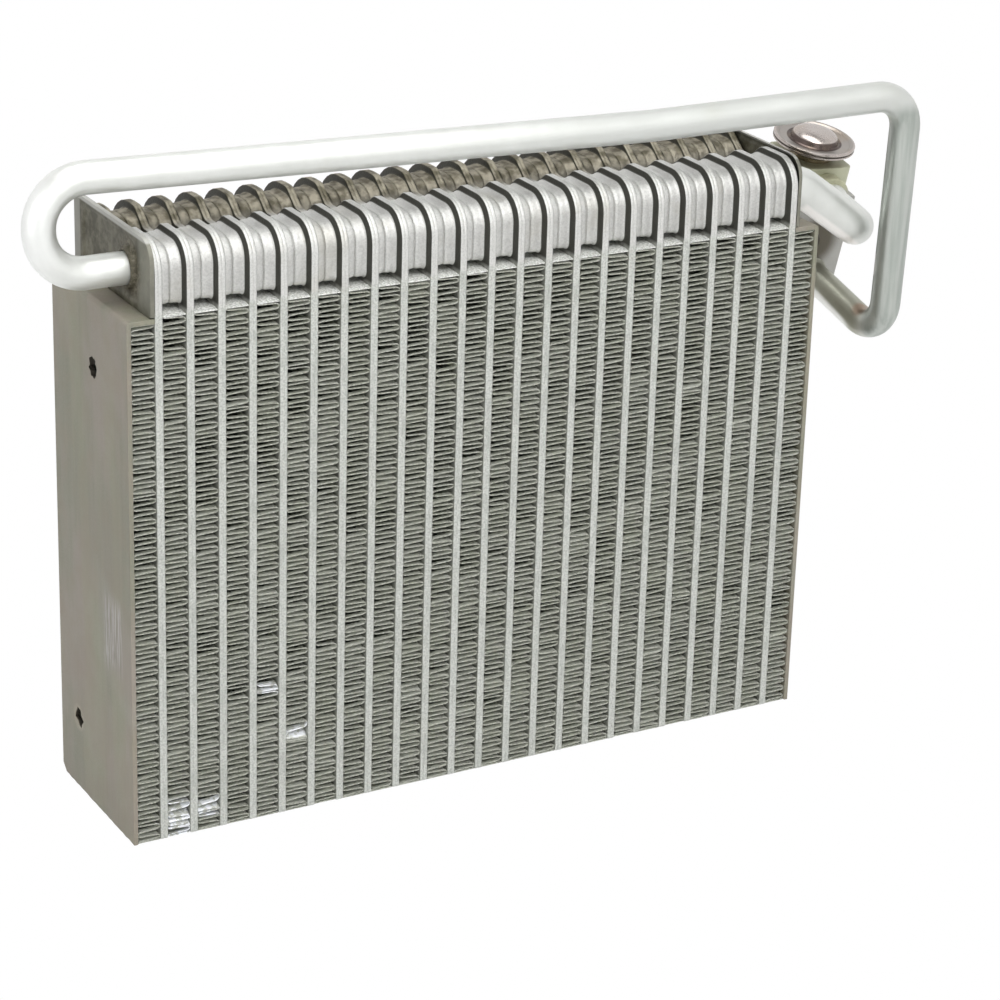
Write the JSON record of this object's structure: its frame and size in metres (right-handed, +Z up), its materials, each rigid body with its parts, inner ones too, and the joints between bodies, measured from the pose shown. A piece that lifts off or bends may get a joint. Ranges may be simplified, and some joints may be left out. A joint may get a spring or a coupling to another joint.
{
  "type": "evaporator core",
  "caption": "Laminated evaporator core for a vehicle's air conditioning: drawn plate tubes, folded fins, twin-header tank, bent liquid and suction pipes, and a block expansion valve.",
  "frame": {"origin": "middle of the core's flat bottom face", "axes": "+X along the row of tubes towards the valve, +Y through the core with the air, from its front face to its back, +Z up towards the tank"},
  "size_m": [0.345, 0.0859, 0.2355],
  "materials": {
    "tube_plates": "brazed pressed sheet",
    "fins": "thin folded sheet",
    "side_plates": "dull brazed sheet",
    "end_plates": "dull brazed sheet",
    "pipes": "drawn tube",
    "valve_block": "machined extrusion",
    "power_head": "pressed stainless steel",
    "clamp_plate": "sawn extrusion",
    "spring_plug": "turned hexagon bar"
  },
  "bodies": {
    "root": {"tube_01": "tube_plates", "tube_02": "tube_plates", "tube_03": "tube_plates", "tube_04": "tube_plates", "tube_05": "tube_plates", "tube_06": "tube_plates", "tube_07": "tube_plates", "tube_08": "tube_plates", "tube_09": "tube_plates", "tube_10": "tube_plates", "tube_11": "tube_plates", "tube_12": "tube_plates", "tube_13": "tube_plates", "tube_14": "tube_plates", "tube_15": "tube_plates", "tube_16": "tube_plates", "tube_17": "tube_plates", "tube_18": "tube_plates", "tube_19": "tube_plates", "tube_20": "tube_plates", "tube_21": "tube_plates", "tube_22": "tube_plates", "tube_23": "tube_plates", "fin_01": "fins", "fin_02": "fins", "fin_03": "fins", "fin_04": "fins", "fin_05": "fins", "fin_06": "fins", "fin_07": "fins", "fin_08": "fins", "fin_09": "fins", "fin_10": "fins", "fin_11": "fins", "fin_12": "fins", "fin_13": "fins", "fin_14": "fins", "fin_15": "fins", "fin_16": "fins", "fin_17": "fins", "fin_18": "fins", "fin_19": "fins", "fin_20": "fins", "fin_21": "fins", "fin_22": "fins", "fin_23": "fins", "fin_24": "fins", "side_plate_left": "side_plates", "side_plate_right": "side_plates", "tank_end_plate_left": "end_plates", "tank_end_plate_right": "end_plates", "liquid_pipe": "pipes", "suction_pipe": "pipes", "valve_block": "valve_block", "valve_power_head": "power_head", "pipe_clamp_plate": "clamp_plate", "valve_spring_plug": "spring_plug"}
  },
  "joints": []
}
